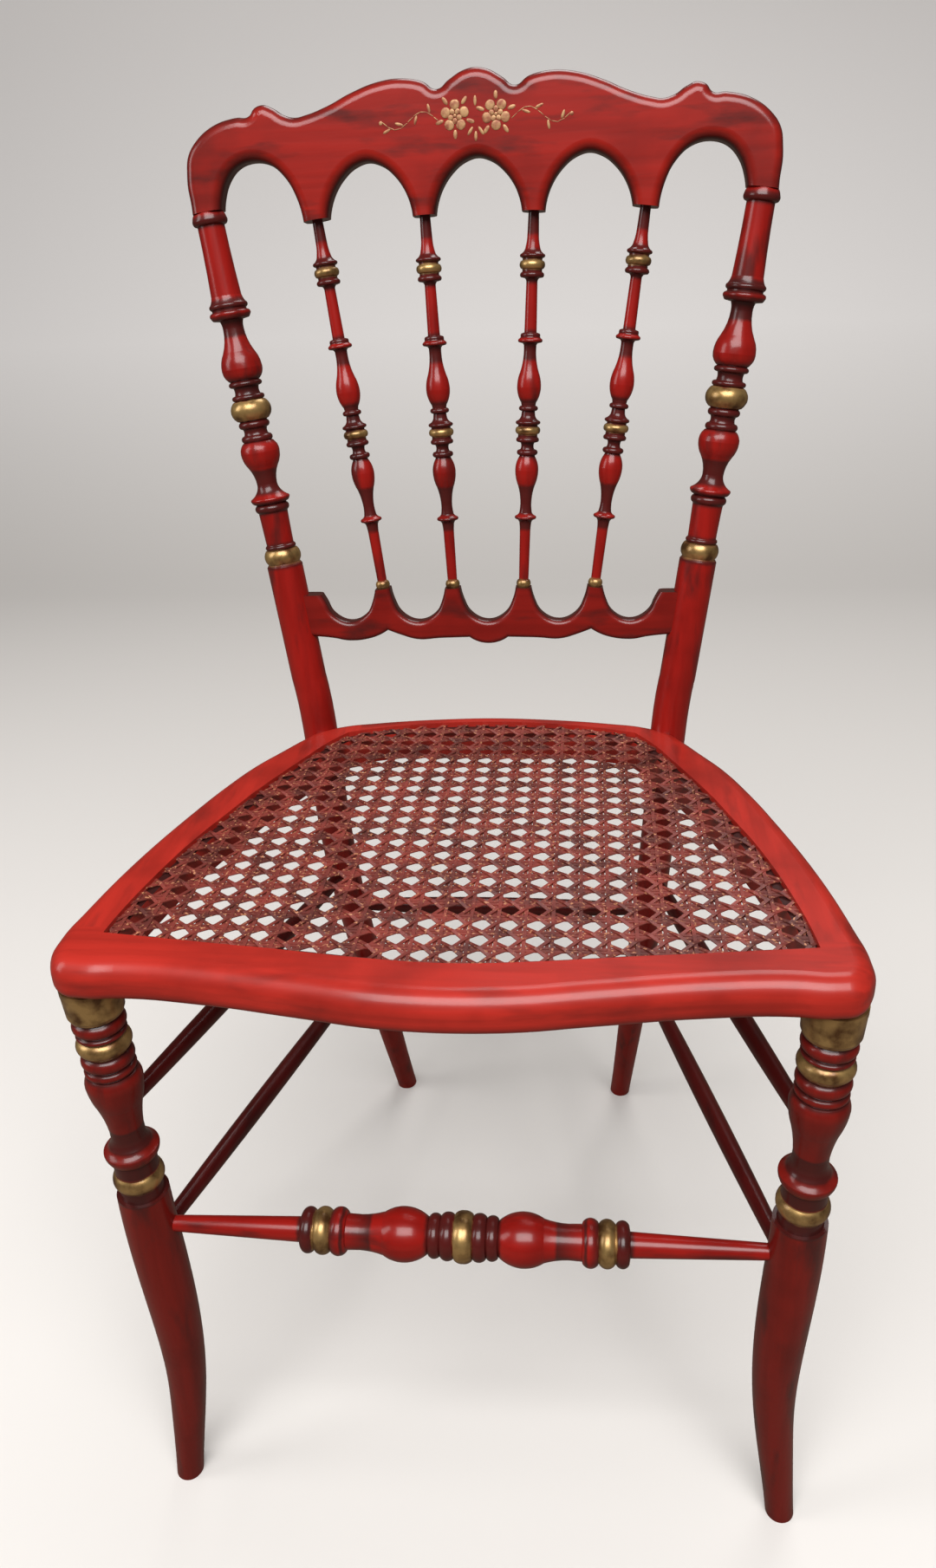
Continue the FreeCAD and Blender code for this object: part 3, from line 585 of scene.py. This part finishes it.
def stroke(x, up, wide, tall, turn, lift=0.0):
    bpy.ops.mesh.primitive_uv_sphere_add(segments=12, ring_count=6, radius=0.5)
    obj = bpy.context.object
    place = on_back(x * MM, up * MM, board_front + lift * MM)
    lean = Matrix.Rotation(-rake, 4, "X") @ Matrix.Rotation(math.radians(turn), 4, "Y")
    size = Matrix.Diagonal((wide * MM, stroke_thick, tall * MM, 1))
    obj.matrix_world = Matrix.Translation(place) @ lean @ size
    bpy.ops.object.transform_apply(location=True, rotation=True, scale=True)
    strokes.append(obj)


def around(x, up, radius, first, wide, tall, lift):
    for number in range(PETALS):
        turn = first + 360 / PETALS * number
        angle = math.radians(turn)
        stroke(x + radius * math.sin(angle), up + radius * math.cos(angle), wide, tall, turn, lift)


def blossom(x, up, first):
    around(x, up, 10.5, first + half_petal, 2.6, 5.5, 0.0)
    around(x, up, 6.3, first, 6.6, 6.0, 0.05)
    around(x, up, 2.9, first + half_petal, 3.2, 3.6, 0.15)
    stroke(x, up, 2.2, 2.2, 0, 0.25)


def sprig(side):
    for number in range(stem_strokes):
        share = number / (stem_strokes - 1)
        x = side * (sprig_start + sprig_run * share)
        up = sprig_up + sprig_wave * math.sin(sprig_bend * share)
        climb = sprig_wave * sprig_bend * math.cos(sprig_bend * share)
        slope = math.degrees(math.atan2(side * sprig_run, climb))
        stroke(x, up, 0.7, 5.2, slope)
        if number % 2:
            turn = slope + (leaf_fold if number % 4 == 1 else -leaf_fold)
            leaf = math.radians(turn)
            stroke(x + leaf_reach * math.sin(leaf), up + leaf_reach * math.cos(leaf), 1.9, 5.6, turn)
    stroke(side * 61.5, 412.5, 2.4, 2.6, 0)


blossom(-blossom_apart, blossom_up, 0)
blossom(blossom_apart, blossom_up, half_petal)
sprig(-1)
sprig(1)
for x, up, turn in ((0, 422.5, 0), (-3.5, 405.5, 35), (3.5, 405.5, -35), (0, 402.5, 0)):
    stroke(x, up, 2.0, 6.0, turn)
print("laid", len(strokes), "strokes")

# %% [markdown]
# The strokes are joined to one piece and painted in dull gold, rubbed through to brown in places.

# %% Gild the spray
SPRAY_GOLD = (0.42, 0.23, 0.10)
SPRAY_BROWN = (0.22, 0.050, 0.022)
spray = join_all(strokes, "gilt_spray")
bpy.ops.object.shade_smooth()
gilt, tree, shader = new_finish("gilt_paint")
worn = ranged(tree, cloud(tree, even(260), 4), 0.40, 0.68)
tree.links.new(mixed(tree, worn, SPRAY_GOLD, SPRAY_BROWN), shader.inputs["Base Color"])
shader.inputs["Metallic"].default_value = 0.3
shader.inputs["Roughness"].default_value = 0.42
spray.data.materials.append(gilt)
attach(spray, "root")
print("gilded the spray")

# %% [markdown]
# ## The studio
# A pale sweep of paper stands under and behind the chair: one plane, its far edge drawn up and the bend
# rounded. The camera sees it pale, and to everything else it is dim, so that it throws little light back up.

# %% Floor
sweep_size, sweep_height, sweep_bend = 7, 4, 1.5
far_edge = 3
PAPER_LOW = (0.72, 0.69, 0.66)
PAPER_HIGH = (1.0, 0.97, 0.95)
PAPER_UNSEEN = (0.14, 0.11, 0.09)
bpy.ops.mesh.primitive_plane_add(size=sweep_size, location=(0, 0, 0))
floor = bpy.context.object
floor.name = "sweep"
pick(floor, lambda point: point.y > far_edge)
bpy.ops.mesh.extrude_region_move(TRANSFORM_OT_translate={"value": (0, 0, sweep_height)})
bpy.ops.object.mode_set(mode="OBJECT")
apply_modifier(floor, "BEVEL", width=sweep_bend, segments=16)
bpy.ops.object.shade_smooth()
paper, tree, shader = new_finish("paper")
height = split(tree, position(tree))[2]
pale = mixed(tree, ranged(tree, height, 0.0, 0.5), PAPER_LOW, PAPER_HIGH)
seen = add(tree, "LightPath").outputs["Is Camera Ray"]
tree.links.new(mixed(tree, seen, PAPER_UNSEEN, pale), shader.inputs["Base Color"])
shader.inputs["Roughness"].default_value = 0.9
shader.inputs["Specular IOR Level"].default_value = 0.1
floor.data.materials.append(paper)
print("laid the sweep")

# %% [markdown]
# The light is a wide soft panel above and in front, with weaker ones from the left and from high behind. The
# world fills the shadows. It is nearly black in reflections, so that only the panels shine in the lacquer.

# %% Light
AIM = Vector((0, 0, 0.5))
WORLD_FILL = (0.30, 0.295, 0.29)
WORLD_SHINE = (0.04, 0.04, 0.04)
WORLD_SEEN = (0.60, 0.57, 0.55)


def panel(name, place, wide, tall, power):
    bpy.ops.object.light_add(type="AREA", location=place)
    lamp = bpy.context.object
    lamp.name = name
    lamp.data.shape = "RECTANGLE"
    lamp.data.size = wide
    lamp.data.size_y = tall
    lamp.data.energy = power
    lamp.rotation_euler = (AIM - Vector(place)).to_track_quat("-Z", "Y").to_euler()


panel("key", (0.1, -1.5, 2.4), wide=2.2, tall=1.5, power=84)
panel("left", (-2.4, -0.7, 1.7), wide=1.0, tall=1.6, power=20)
panel("back", (0.4, 1.6, 2.9), wide=1.6, tall=1.2, power=26)
world = bpy.context.scene.world or bpy.data.worlds.new("studio")
bpy.context.scene.world = world
world.use_nodes = True
tree = world.node_tree
path = add(tree, "LightPath")
shine = mixed(tree, path.outputs["Is Glossy Ray"], WORLD_FILL, WORLD_SHINE)
shine = mixed(tree, path.outputs["Is Camera Ray"], shine, WORLD_SEEN)
tree.links.new(shine, tree.nodes["Background"].inputs["Color"])
print("studio set")

# %% [markdown]
# ## The camera
# The picture was taken standing, a little right of the middle, looking down on the seat. The place, the turn
# and the lens were solved from matching points of the chair.

# %% Camera
camera_place = (0.0730, -0.6988, 0.8094)
yaw, pitch, roll = math.radians(-6.55), math.radians(26.23), math.radians(-2.48)
level = math.radians(90)
bpy.ops.object.camera_add()
camera = bpy.context.object
camera.data.lens = 26.15
camera.data.sensor_width = 36
camera.data.clip_start = 0.01
camera.matrix_world = (
    Matrix.Translation(camera_place) @ Matrix.Rotation(-yaw, 4, "Z")
    @ Matrix.Rotation(level - pitch, 4, "X") @ Matrix.Rotation(roll, 4, "Z"))
bpy.context.scene.camera = camera
bpy.context.scene.view_settings.view_transform = "Standard"
print("camera placed")
